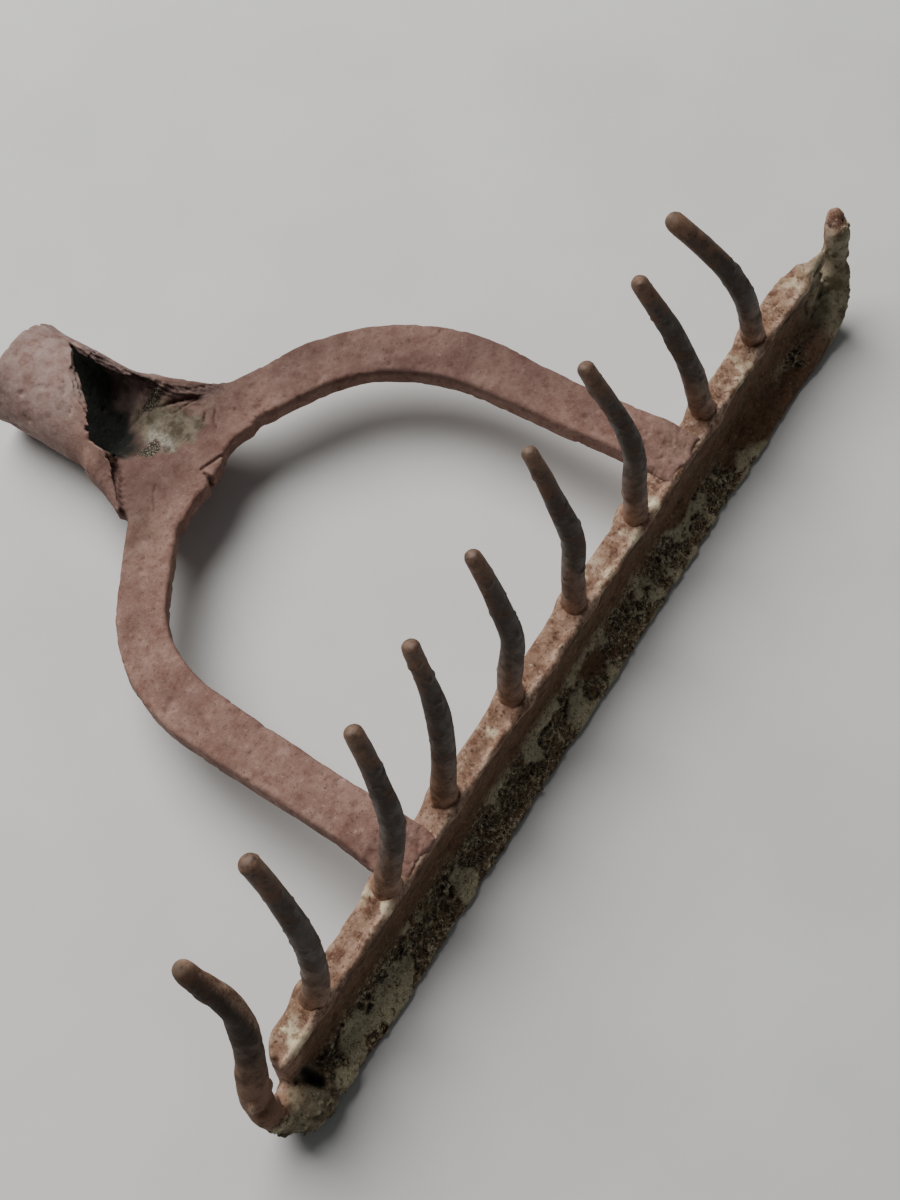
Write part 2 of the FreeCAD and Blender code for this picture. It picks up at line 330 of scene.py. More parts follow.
# --- relief shared by all forged iron ---
def forged(x, y, z, hammer, pit, seed=3):
    """Hammer marks, rust scale and pits, as an offset of the surface in millimetres."""
    marks = clouds(x, y, z, 17, seed, 2) * hammer
    scale = clouds(x, y, z, 4.2, seed + 7, 3) * 0.20
    pits = np.clip(clouds(x, y, z, 3.1, seed + 19, 2) - 0.42, 0.0, 1.0) * pit
    return marks + scale + pits


# --- tine bar ---
BAR_SECTION_INNER = [
    (219.6, FLOOR_Z + 0.6), (217.6, -12), (215.2, -3), (214.3, 4), (214.2, RIB_TOP_Z - 0.6),
]
FACE_R = 16.0
FACE_TURN = math.radians(68.0)
# Ends of the bar. Each station: centre, half width across the bar, half thickness.
WHOLE_TINE = [
    ((158, 229, -13.6), 6.6, 5),
    ((165.4, 227, -8), 5.6, 4.9),
    ((168.6, 223.4, 2.5), 5.1, 4.8),
    ((167.3, 219.8, 14), 4.9, 4.75),
    ((164.3, 218.3, 27), 4.7, 4.7),
    ((160.8, 216.4, 41.5), 4.5, 4.5),
    ((158.4, 213.8, 54), 4.25, 4.25),
    ((157.7, 209.6, 63.5), 4, 4),
    ((158.6, 204.5, 71), 3.8, 3.75),
    ((159.2, 200.6, 77), 3.5, 3.4),
    ((159.3, 199.2, 79), 3.1, 3),
]
CHIN = [
    ((143, 229.5, -13.2), 8.4, 5),
    ((151, 228.8, -12), 8.4, 6.2),
    ((158.5, 228.6, -10.8), 8.9, 7.2),
    ((163.5, 227.4, -8.5), 7.4, 6),
]
BROKEN_END = [
    ((-166, 229, -13.5), 8.4, 4.8),
    ((-180, 229.2, -12.5), 8.9, 4.6),
    ((-190, 228.6, -3.5), 7.6, 3.8),
    ((-193, 226.2, 9), 5.7, 3.4),
    ((-192.6, 224.6, 20), 4.9, 4),
    ((-191.6, 223.6, 29), 4.5, 4.5),
    ((-190.8, 223.2, 37), 4.3, 4.3),
]
LIP_END = [
    ((-168, 219.8, 14.8), 3.9, 1.7), ((-176, 220, 16.2), 3.5, 1.9), ((-182.5, 220.8, 18.8), 2.9, 2.1),
    ((-187.5, 222.2, 22.8), 2.6, 2.6), ((-190, 223, 27), 3.1, 3.1),
]
BREAK_POINT = (-191.0, 223.3, 31.8)
BREAK_FACING = (0.30, 0.34, 0.89)
BAR_X = (-176.5, 157.0)
WHOLE_END_FROM_X = 134.0
POCKET_AT = (152.0, 228.6, -3.5)
POCKET_RADII = (2.5, 4.2, 4.6)
POCKET_SCALE = 3.2
FOOT_PLAN = [
    (-178, 200), (-178.5, 218), (-186, 224), (-190, 232), (-183, 239), (-150, 238.3), (-60, 239),
    (40, 238.4), (120, 239), (140, 237.6), (146, 234.8), (149.5, 234), (153, 236.6), (157.5, 237.6),
    (163, 233), (164, 200),
]


def bar_outline():
    """Section of the bar: thick rib, hollow outer face, foot."""
    outer = RIB_Y + RIB_HALF - 0.5
    centre_y = outer + FACE_R
    centre_z = FLOOR_Z + 5.0 + FACE_R * math.sin(FACE_TURN)
    points = [(outer, RIB_TOP_Z - 0.6)]
    for i in range(9):
        angle = FACE_TURN * i / 8
        points.append((centre_y - FACE_R * math.cos(angle), centre_z - FACE_R * math.sin(angle)))
    points += [(FOOT_EDGE_Y - 1.6, FLOOR_Z + 3.2), (FOOT_EDGE_Y - 0.8, FLOOR_Z + 1.9)]
    points += [(FOOT_EDGE_Y - 1.6, FLOOR_Z + 0.6)]
    return points + BAR_SECTION_INNER


BAR_OUTLINE = bar_outline()
WHOLE_PATH = smooth_path(WHOLE_TINE)
CHIN_PATH = smooth_path(CHIN)
BROKEN_PATH = smooth_path(BROKEN_END)
LIP_PATH = smooth_path(LIP_END, 3)


def only_where(mask, distance, *coordinates):
    """A costly distance worked out only where it can matter, and far away elsewhere."""
    out = np.full(len(mask), 50.0)
    if mask.any():
        out[mask] = distance(*[c[mask] for c in coordinates])
    return out


def whole_end(x, y, z):
    return smooth_min(strand(x, y, z, WHOLE_PATH), strand(x, y, z, CHIN_PATH), 1.6)


def broken_end(x, y, z):
    body = strand(x, y, z, BROKEN_PATH)
    beyond = sum((v - p) * n for v, p, n in zip((x, y, z), BREAK_POINT, BREAK_FACING))
    body = smooth_max(body, beyond + 0.35 * clouds(x, y, z, 3, 59, 2), 1.0)
    # a chip under the broken face, on its inner side, and a pit beside it
    chip = np.sqrt((x + 188.2) ** 2 + (y - 220.8) ** 2 + ((z - 29.6) * 1.4) ** 2) - 1.7
    body = smooth_max(body, -chip, 0.6)
    pit = np.sqrt((x + 193.6) ** 2 + (y - 226.0) ** 2 + (z - 31.4) ** 2) - 1.5
    return smooth_max(body, -pit, 0.5)


def in_pocket(x, y, z):
    """Share of the way from the middle of the pocket to its wall, beside the curled whole end."""
    return np.sqrt(sum(((v - c) / r) ** 2 for v, c, r in zip((x, y, z), POCKET_AT, POCKET_RADII)))


def bar_shape(x, y, z):
    section = polygon_distance(y, z, BAR_OUTLINE) - 0.5
    middle, half = (BAR_X[0] + BAR_X[1]) / 2, (BAR_X[1] - BAR_X[0]) / 2
    narrowed = 213.6 + 3.2 * rise(-x, 164, 178) + 4.0 * rise(x, 149, 158.5) - y
    body = smooth_max(section, np.abs(x - middle) - half, 2.5)
    body = smooth_max(body, narrowed, 1.5)
    # beyond the rib the outer wall runs on alone, thin, and climbs to the broken tine
    wall = smooth_max(section - 0.3, 220.4 - y, 0.8)
    wall = smooth_max(wall, np.abs(x + 172.0) - 18.5, 1.2)
    body = smooth_min(body, wall, 0.8)
    rim = only_where(x < -165.0, lambda *p: strand(*p, LIP_PATH), x, y, z)
    web = smooth_max(polygon_distance(y, z, [(220.6, -6), (226.5, -6), (224.0, 24), (221.6, 24)]) - 0.4,
                     np.maximum(np.abs(x + 184.0) - 7.0, z - 19.5 - 0.55 * (-182.0 - x)), 1.0)
    body = smooth_min(body, smooth_min(rim, web, 1.5), 1.2)
    body = smooth_max(body, polygon_distance(x, y, FOOT_PLAN), 2.2)
    far = only_where(x < -160.0, broken_end, x, y, z)
    body = smooth_min(body, far, 3.5)
    near = only_where(x > WHOLE_END_FROM_X, whole_end, x, y, z)
    body = smooth_min(body, near, 1.8)
    return smooth_max(body, -(in_pocket(x, y, z) - 1) * POCKET_SCALE, 1.2)


def paint_left(x, y, z):
    """Where remains of the old cream paint stick to the bar, from 0 to 1."""
    web = bump(x, -184.5, 13) * rise(y, 221, 223.5) * rise(z, -14.5, -6) * rise(-z, -30.5, -27)
    chin = rise(x, 147, 151) * rise(y - 0.30 * (x - 165), 225.6, 226.6) * rise(-z, -1, 3)
    top = rise(z, 13.5, 14.8)
    corner = np.zeros(len(x))
    for spot, width in ((148.5, 4.2), (101.5, 2.2), (-49.0, 2.6), (-31.0, 3.6), (-63.0, 2.6),
                        (-125.0, 5.0), (-172.0, 5.0), (36.0, 1.6)):
        corner = np.maximum(corner, bump(x, spot, width))
    strip = top * corner * rise(clouds(x, y, z, 4, 71, 3), -0.1, 0.15)
    return np.clip(np.maximum.reduce([web * 1.3, chin * 1.2, strip]), 0, 1)


def crevices(x, y):
    """Gaps between the tines and the lip, on the lip's side of each tine: sunk into the relief, and darkened
    in the colour as painted shade.
    """
    best = np.zeros(len(x))
    for number, tine in TINES.items():
        away_x = x - tine["x"] - tine["stray_x"][0]
        away_y = y - RIB_Y - tine["stray_y"][0]
        ring = np.hypot(away_x, away_y) + 1e-6
        toward = (0.95 * away_y + (0.30 if number % 2 else -0.30) * away_x) / ring
        wide = 0.75 if number in (4, 9, 2) else 0.45
        best = np.maximum(best, bump(ring, 4.6, wide) * rise(toward, 0.6, 0.95))
    return best


def corrosion(x, y, z):
    """The rotten coat on the outer face: its islands, and the curls that surround them."""
    lower = rise(y, 224.6, 227.4) * rise(z, -18.5, -16.5)
    bare = 1.1 * bump(x, -146, 26) + 0.45 * bump(x, 95, 20)
    broad = clouds(x * 0.8, y * 1.2, z * 1.2, 22, 61, 3) - bare + 0.25 * rise(y, 227, 233)
    there = lower * rise(broad, -0.42, -0.05)
    patches = clouds(x * 0.8, y, z, 9, 63, 3)
    islands = there * rise(patches, 0.05, 0.22)
    bend_x = x + 1.6 * clouds(x, y, z, 5, 65, 2)
    bend_z = z + 1.6 * clouds(x, y, z, 5, 67, 2)
    curls = rise(0.22 - np.abs(clouds(bend_x, y, bend_z, 4.4, 69, 2)), 0.06, 0.17)
    return islands, curls * there * (1 - 0.8 * islands), there


def bar_relief(x, y, z):
    paint = paint_left(x, y, z)
    move = forged(x, y, z, hammer=0.34, pit=0.45) - 0.28 * paint
    # the relief of the top never pushes the rib's outer wall outwards
    top = rise(z, 10.5, 14) * rise(-z, -19.5, -18) * (1 - rise(y, 223, 224.5))
    flat = np.zeros(len(x))
    lumps = clouds(x, flat, flat, 8, 41, 3)
    # the lip along the outer edge, its torn lower side, and the shallow strip behind it
    small = clouds(x, flat, flat, 3.5, 43, 2)
    near_lip = rise(y, 221.8, 223) * rise(z, 10, 12.5)
    move -= top * bump(y, 222.6, 1.4) * (0.75 + 0.9 * lumps + 0.4 * small)
    move += near_lip * (0.45 * clouds(x, flat, z, 6, 45, 3) + 0.25 * small)
    move += rise(z, 8, 11) * (1 - rise(z, 12.5, 14.5)) * rise(y, 223, 224.2) * (0.8 + 1.2 * lumps)
    move += top * bump(y, 220.3, 1.3) * (0.35 + 0.5 * lumps)
    for tine in TINES.values():
        away = x - tine["x"]
        ring = np.sqrt(away ** 2 + (y - RIB_Y) ** 2)
        side = rise(z, 2, 12) * rise(-z, -20, -18.5)
        move -= side * bump(away, 0, 5.5) * rise(np.abs(y - RIB_Y), 3.5, 5) * 0.8
        move -= top * bump(ring, 4.6, 2.3) * (1.4 + 0.8 * rise(y, RIB_Y + 2, RIB_Y + 4))
    move += top * crevices(x, y) * 0.6
    # streaks along the upper part of the outer face, islands and curls on its lower part
    islands, curls, there = corrosion(x, y, z)
    face = rise(y, 223.4, 224.6) * rise(-z, -13.5, -12)
    move += face * (1 - there) * 0.35 * clouds(x * 0.25, y, z, 2.8, 73, 3)
    move += 0.55 * there - 0.75 * islands - 1.15 * curls
    # the notch between the whole tine and the rib's end lobe, and the torn chin
    seam = np.abs(x - 161.6 - 0.62 * (y - 221.0))
    move += 1.6 * bump(seam, 0, 0.8) * rise(y, 217, 219) * rise(-y, -228, -226.5) * bump(z, -2, 8)
    move += 0.7 * bump(np.hypot(x + 189.5, z - 8), 0, 2.4)
    ends = rise(x, 149, 153) * rise(-z, -3, 2) * rise(y, 225.5, 227) + 0.4 * bump(x, -192, 9)
    # the dark line under the lip where it leaves the rib for the broken end
    gap = np.hypot(y - 223.6 - 0.08 * (-178.0 - x), (z - 13.5 - 0.5 * (-174.0 - x)) * 0.8)
    move += 1.3 * bump(gap, 0, 0.9) * rise(-x, 168, 174) * (1 - rise(-x, 184, 188))
    return move + ends * clouds(x, y, z, 3.4, 53, 3) * 0.75


# --- bow ---
def arm_plane(y):
    """Height of the middle of the bow's iron."""
    return ARM_ROOT_Z + ARM_THICKNESS / 2 + (y - ARM_ROOT_Y) * math.tan(ARM_RISE)


def arm_sideways(x, y, spread, bend_r, end_x, splay, **_):
    """Signed distance from an arm's centre line in plan, outwards positive, on the +X side."""
    a, b = math.radians(spread), math.radians(splay)
    out_first = np.array([math.sin(a), -math.cos(a)])
    out_last = np.array([math.cos(b), -math.sin(b)])
    offsets = np.array([-math.cos(a) * ARM_ROOT_Y, out_last @ np.array([end_x, RIB_Y])])
    centre = np.linalg.solve(np.array([out_first, out_last]), offsets - bend_r)
    rx, ry = x - centre[0], y - centre[1]
    along_first = rx * math.cos(a) + ry * math.sin(a)
    along_last = rx * math.sin(b) + ry * math.cos(b)
    on_first = rx * out_first[0] + ry * out_first[1] - bend_r
    on_last = rx * out_last[0] + ry * out_last[1] - bend_r
    return np.where(along_first < 0, on_first, np.where(along_last > 0, on_last, np.hypot(rx, ry) - bend_r))


def hollow(x, y, z):
    """The bore of the socket and the dish that it runs out into."""
    rows = np.array([
        [-12, 0, BORE_R], [30, 0, BORE_R], [36, 1, 15.5], [40, 4, 15.5], [44, 8, 15.6],
        [50, 14, 17], [58, 21, 20], [66, 29.5, 25.5], [72, 38, 31], [78, 52, 42.5],
        [84, 62, 50],
    ])
    centre_z = np.interp(y, rows[:, 0], rows[:, 1])
    radius = np.interp(y, rows[:, 0], rows[:, 2])
    middle = -0.5 - 3.0 * rise(y, 44, 70)
    return np.hypot(x - middle, z - centre_z) - radius


FORK_PLAN = [
    (-20, 44), (21, 47), (25, 56), (30, 66), (22, 88), (17, 87.6), (11.5, 87),
    (7, 87.6), (4.4, 85.8), (3, 87.2), (-2.5, 86.6), (-8, 84.2), (-14, 84), (-21, 86),
    (-30, 66), (-25, 54),
]
# where the socket's piece meets the arms' pieces, at |x|, and how far they run over one another
SEAT = 21
LAP = 2
HEAD_END_Y = 110


def bow_plan(x, y):
    """Signed distance to the outline of the bow in plan, without the ends of its arms."""
    flat = np.zeros(len(x))
    best = polygon_distance(x, y, FORK_PLAN)
    for sizes in ARMS.values():
        mirrored = x * sizes["side"]
        wide = sizes["width"] + 2.6 * rise(y, 203, 220) + 1.2 * clouds(mirrored * 0.6, y, flat, 38, 77, 2)
        out, swell, place, length = sizes["uneven"]
        here = bump(y, place, length)
        arm = np.abs(arm_sideways(mirrored, y, **sizes) - out * here) - (wide + swell * here) / 2
        best = smooth_min(best, smooth_max(arm, -mirrored, 2.0), 5.0)
    return best


def bow_shape(x, y, z):
    thin = ARM_THICKNESS - 3.4 * rise(y, 206, 221)
    lift = arm_plane(y) - 1.4 * rise(y, 206, 221)
    a = bow_plan(x, y) + ARM_EDGE_R
    b = np.abs(z - lift) - thin / 2 + ARM_EDGE_R
    bar = np.hypot(np.clip(a, 0, None), np.clip(b, 0, None)) + np.minimum(np.maximum(a, b), 0) - ARM_EDGE_R
    return smooth_max(bar, y - RIB_Y - 4.4 - 0.8 * np.sin(x * 0.5), 2.2)


# --- socket ---
THROAT_PLAN = [
    (-12.2, 15.2), (-9.4, 18.6), (-6.6, 21), (-3.4, 24.5), (2, 30.4), (6.1, 36), (9.8, 44), (13.2, 50),
    (16.6, 55.5), (22, 61.5), (28.5, 68), (40, 110), (-40, 110), (-27.5, 65),
    (-21.5, 60), (-16.4, 52), (-14.4, 44), (-13.6, 36), (-13.2, 27), (-12.8, 20),
]
# the sheet that is folded over the near side of the fork: its plan and the line of its raw edge
FOLD_EDGE = [
    (6.1, 36), (9.8, 44), (14, 50.5), (19.7, 57.2), (22.6, 60.2), (26, 63.1), (29.3, 66), (32.1, 68.4),
    (35.2, 71),
]
CLAY_PLAN = [(-12, 39), (-15.5, 50), (-13, 70), (-6, 75), (1.6, 68), (3, 52), (-3, 44)]
FOLD_PLAN = FOLD_EDGE + [(42, 72), (38, 60), (30, 48), (24, 36), (8, 34)]


def leaves_of_sheet(radius, x, y):
    """How far the split leaves of the sheet end behind one another."""
    here = rise(x + 0.2 * y, -2, 6)
    return (1.3 * rise(radius, 17.2, 17.6) + 0.8 * rise(radius, 18.2, 18.5)) * here


def socket_body(x, y, z):
    """The rolled tube, the bow and the dish between them, as one body."""
    swell = 0.6 * rise(-y, -6, 0) + 0.8 * rise(y, 30, 55)
    radius = np.hypot(x, z)
    tube = smooth_max(radius - SOCKET_R - swell, y - 62.0, 6.0)
    bow = bow_shape(x, y, z)
    body = smooth_min(tube, bow, 9.0)
    # folded sheet: lies over the bow's near edge and thins out along the arm
    top = 12.4 - 0.17 * (y - 44.0)
    fold = smooth_max(polygon_distance(x, y, FOLD_PLAN) + 0.5 * clouds(x, y, z, 5, 97, 3), z - top, 1.6)
    fold = smooth_max(fold, bow - 0.7 * rise(z, 2, 6), 1.5)
    body = smooth_min(body, np.maximum(fold, -2.0 - z), 1.2)
    body = smooth_max(body, -y, 0.8)
    body = smooth_max(body, -hollow(x, y, z), 0.9)
    # the opening between the two ears, cut with a ragged edge; the far ear is cut on a slant
    ragged = clouds(x, y, z * 0.6, 6, 97, 3) * 0.9 + clouds(x, y, z, 2.4, 99, 2) * 0.25
    slant = 0.55 * np.clip(13.5 - z, 0.0, 5.5) * rise(-x, 2, 8) * rise(y, 15, 19)
    opening = polygon_distance(x - slant, y, THROAT_PLAN) + ragged - leaves_of_sheet(radius, x, y)
    kept = (arm_plane(y) + ARM_THICKNESS / 2) * rise(y, 46, 62) + 0.6 * rise(y, 64, 74)
    body = smooth_max(body, -np.maximum(opening, kept - z), 0.6)
    seam_x = -7.2 - 0.24 * y + 0.6 * np.sin(y * 0.4)
    seam = np.maximum(np.abs(x - seam_x) - 0.15, np.maximum(-z, np.abs(y - 9.0) - 8.5))
    seam = np.maximum(seam, SOCKET_R - 0.2 - radius)
    return smooth_max(body, -seam, 0.5)


def whole_head(x, y, z):
    """The body near the socket, and the plain bow beyond it."""
    body = np.empty(len(x))
    near = y < HEAD_END_Y
    body[near] = socket_body(x[near], y[near], z[near])
    body[~near] = bow_shape(x[~near], y[~near], z[~near])
    return body


def socket_shape(x, y, z):
    # the two pieces meet without a step: each thins a little under the other
    taper = 0.08 * rise(np.abs(x), SEAT - 0.5, SEAT + 0.5) + 0.8 * rise(np.abs(x), SEAT + 0.4, SEAT + LAP)
    return np.maximum(whole_head(x, y, z) + taper, np.abs(x) - SEAT - LAP)


def make_arm_shape(side):
    def arm_shape(x, y, z):
        mirrored = x * side
        taper = 0.08 * (1 - rise(mirrored, SEAT - 0.5, SEAT + 0.5))
        taper += 0.8 * (1 - rise(mirrored, SEAT - LAP, SEAT - 0.4))
        head = whole_head(x, y, z)
        arm = np.maximum(head + taper, SEAT - LAP - mirrored)
        # the arm's root runs on, a little thinner, inside the socket's tongue
        root = np.maximum(bow_shape(x, y, z), head) + 1.0
        root = np.maximum(root, np.maximum(SEAT - 8.0 - mirrored, mirrored - SEAT - 1.0))
        return np.minimum(arm, root)
    return arm_shape


def crack(x, y, points, depth, width):
    """A crack along a line in plan."""
    best = np.full(len(x), 1e9)
    for (ax, ay), (bx, by) in zip(points[:-1], points[1:]):
        ex, ey = bx - ax, by - ay
        t = np.clip(((x - ax) * ex + (y - ay) * ey) / (ex * ex + ey * ey), 0.0, 1.0)
        best = np.minimum(best, np.hypot(x - ax - ex * t, y - ay - ey * t))
    return depth * bump(best, 0, width)


def throat_relief(x, y, z):
    upper = rise(z, 1, 4.5)
    wobble = clouds(x, y, z, 4, 101, 2) * 0.7
    cracks = (
        ([(-28.0, 63.4), (-25.0, 60.8), (-22.4, 59.1), (-19.3, 54.6)], 0.8, 0.50),
        ([(-20.6, 63.0), (-16.5, 61.4), (-12.7, 59.0), (-10.9, 55.2)], 0.7, 0.40),
        ([(-8.0, 86.5), (-4.5, 84.4), (-1.0, 83.2), (2.4, 81.8)], 1.3, 0.45),
        ([(3.2, 83.6), (4.4, 88.0)], 1.4, 0.45),
        ([(17.1, 72.0), (21.0, 74.8), (24.9, 77.9)], 0.5, 0.40),
        ([(-17.0, 69.0), (-14.0, 70.5)], 0.9, 0.40),
        ([(-19.5, 71.0), (-15.5, 74.0), (-14.5, 76.0)], 0.7, 0.35),
    )
    move = np.zeros(len(x))
    for points, depth, width in cracks:
        move += upper * crack(x + wobble, y, points, depth, width)
    # gap under the raw edge of the folded sheet
    under = rise(z, 3, 5.5) * (1 - rise(z, 8.6, 10.2))
    move += under * crack(x + 0.8 + 0.4 * wobble, y - 0.8, FOLD_EDGE[2:], 1.0, 0.8)
    # leaves of the sheet, seen on the torn edges of both ears
    radius = np.hypot(x, z)
    edge = polygon_distance(x, y, THROAT_PLAN)
    ears = rise(z, 2, 7) * rise(y, 15, 20) * (1 - rise(y, 66, 71))
    leaves = np.sin((radius + 0.25 * edge) * 3.1 + clouds(x, y, z, 5, 103, 2) * 2.4)
    move += ears * bump(edge, 0.4, 2.2) * leaves * 0.36
    # strata that fan out from the -X ear into the fork
    strata = np.sin((0.80 * x + 0.60 * y) * 2.4 + clouds(x, y, z, 8, 105, 2) * 2.2)
    fan = bump(x + 18.5 + 0.33 * (y - 56), 0, 6) * rise(y, 44, 50) * (1 - rise(y, 63, 68))
    move += fan * upper * strata * 0.30
    # soil and grit that have dried in the dish
    inside = rise(-hollow(x, y, z), -1.4, 0)
    floor = inside * rise(y, 38, 44) * (1 - rise(y, 70, 76)) * rise(-z, -8, -5)
    move -= floor * (0.3 + 0.5 * clouds(x, y, z, 5, 107, 3))
    grit = clouds(x, y, z, 2.2, 113, 2)
    for gx, gy, size in ((4.6, 60.0, 5.2), (-13.0, 47.0, 4.0), (1.0, 64.5, 3.0)):
        near = bump(np.hypot(x - gx, y - gy), 0, size * 0.62) * rise(z, -9, -4)
        move += near * (0.7 + 1.5 * grit) * upper.clip(0.4, 1)
    return move


def head_relief(x, y, z):
    move = forged(x, y, z, hammer=0.32, pit=0.75) - 0.06 * clouds(x, y, z, 4.2, 10, 3)
    # long shallow forging grooves along the straight runs
    move += 0.14 * rise(y, 70, 90) * clouds(x * 2.5, y * 0.35, z, 6, 83, 2)
    # the scarf that is hammered down on the rib is torn and cracked
    scarf = rise(y, 209, 216)
    torn = np.clip(np.abs(clouds(x, y, z, 6, 91, 3)), 0, 0.3)
    move += scarf * (clouds(x, y, z, 4.5, 89, 3) * 0.45 + 0.35 * (0.12 - torn).clip(0, 1) / 0.12)
    near = (y < 96.0) & (np.abs(x) < 40.0)
    move[near] += throat_relief(x[near], y[near], z[near])
    return move


# --- tines ---
def make_tine(number, tine):
    """A round forged tine: shank in the rib, upset root, bent blade and blunt tip."""
    seed = 200 + number
    bottom = TINE_IN_RIB / tine["height"]
    t = np.linspace(-bottom, 1.0, TINE_RINGS)
    up = np.clip(t, 0.0, None)
    stray = [
        smooth_path([((a, b, 0), 0, 0) for a, b in zip(STRAY_AT, tine[key])], 40)
        for key in ("stray_x", "stray_y")
    ]
    spine = np.stack([
        tine["x"] + tine["lean"] * up + np.interp(up, stray[0][:, 0], stray[0][:, 1]),
        RIB_Y - tine["reach"] * up ** tine["bend"] + np.interp(up, stray[1][:, 0], stray[1][:, 1]),
        RIB_TOP_Z + tine["height"] * t,
    ], axis=1)
    span = TINE_RINGS // 20
    padded = np.pad(spine, ((span, span), (0, 0)), mode="reflect", reflect_type="odd")
    window = np.ones(2 * span + 1) / (2 * span + 1)
    spine = np.stack([np.convolve(padded[:, i], window, "valid") for i in range(3)], 1)
    ahead = np.gradient(spine, axis=0)
    ahead /= np.linalg.norm(ahead, axis=1, keepdims=True)
    blade = TINE_R - TINE_THINNING
    radius = TINE_R - TINE_THINNING * rise(up, 0.05, 0.5) - (blade - tine["tip"]) * rise(up, 0.5, 1.02)
    length = tine["height"]
    flare = np.exp(-np.clip(t * length, 0.0, None) / FLARE_HEIGHT)
    radius += FLARE * flare * rise(t * length, -1.5, -0.2)
    tip = np.clip((1.0 - t) * length / (radius * 0.80), 0.0, 1.0)
    radius = radius * (1 - (1 - tip) ** 2.4 + 1e-4) ** 0.42
    side = np.cross(ahead, np.array([0.0, 1.0, 0.0]))
    side /= np.linalg.norm(side, axis=1, keepdims=True)
    other = np.cross(side, ahead)
    turn = np.linspace(0, 2 * math.pi, TINE_SIDES, endpoint=False)
    rings = spine[:, None] + radius[:, None, None] * (
        np.cos(turn)[None, :, None] * side[:, None] + np.sin(turn)[None, :, None] * other[:, None]
    )
    verts = rings.reshape(-1, 3)
    i = np.arange(len(t) - 1)[:, None] * TINE_SIDES
    j = np.arange(TINE_SIDES)[None]
    k = (j + 1) % TINE_SIDES
    quads = np.stack([i + j, i + k, i + TINE_SIDES + k, i + TINE_SIDES + j], -1).reshape(-1, 4)
    normals = vertex_normals(verts, quads)
    x, y, z = verts.T
    along = np.repeat(t, TINE_SIDES)
    grown = 0.20 * clouds(x, y, z, 16, seed, 2) + 0.08 * clouds(x, y, z, 3.2, seed + 5, 3)
    grown -= 0.6 * np.clip(clouds(x, y, z, 3, seed + 9, 2) - 0.50, 0, 1)
    grown += 0.5 * rise(-along, -0.08, 0) * clouds(x, y, z, 3, seed + 11, 2)
    grown *= rise(np.repeat(tip, TINE_SIDES), 0, 0.5)
    verts = verts + normals * grown[:, None]
    caps = [list(range(TINE_SIDES))[::-1], [(len(t) - 1) * TINE_SIDES + n for n in range(TINE_SIDES)]]
    return verts, quads, caps, along


# --- materials ---
def linear(colour):
    """Linear colour from three screen values of 0 to 255. Four values are linear already."""
    if len(colour) == 4:
        return colour
    shares = (v / 255 for v in colour)
    return tuple(v / 12.92 if v <= 0.04 else ((v + 0.055) / 1.055) ** 2.4 for v in shares) + (1.0,)


def fill(node, values):
    for key, value in values.items():
        node.inputs[key].default_value = value


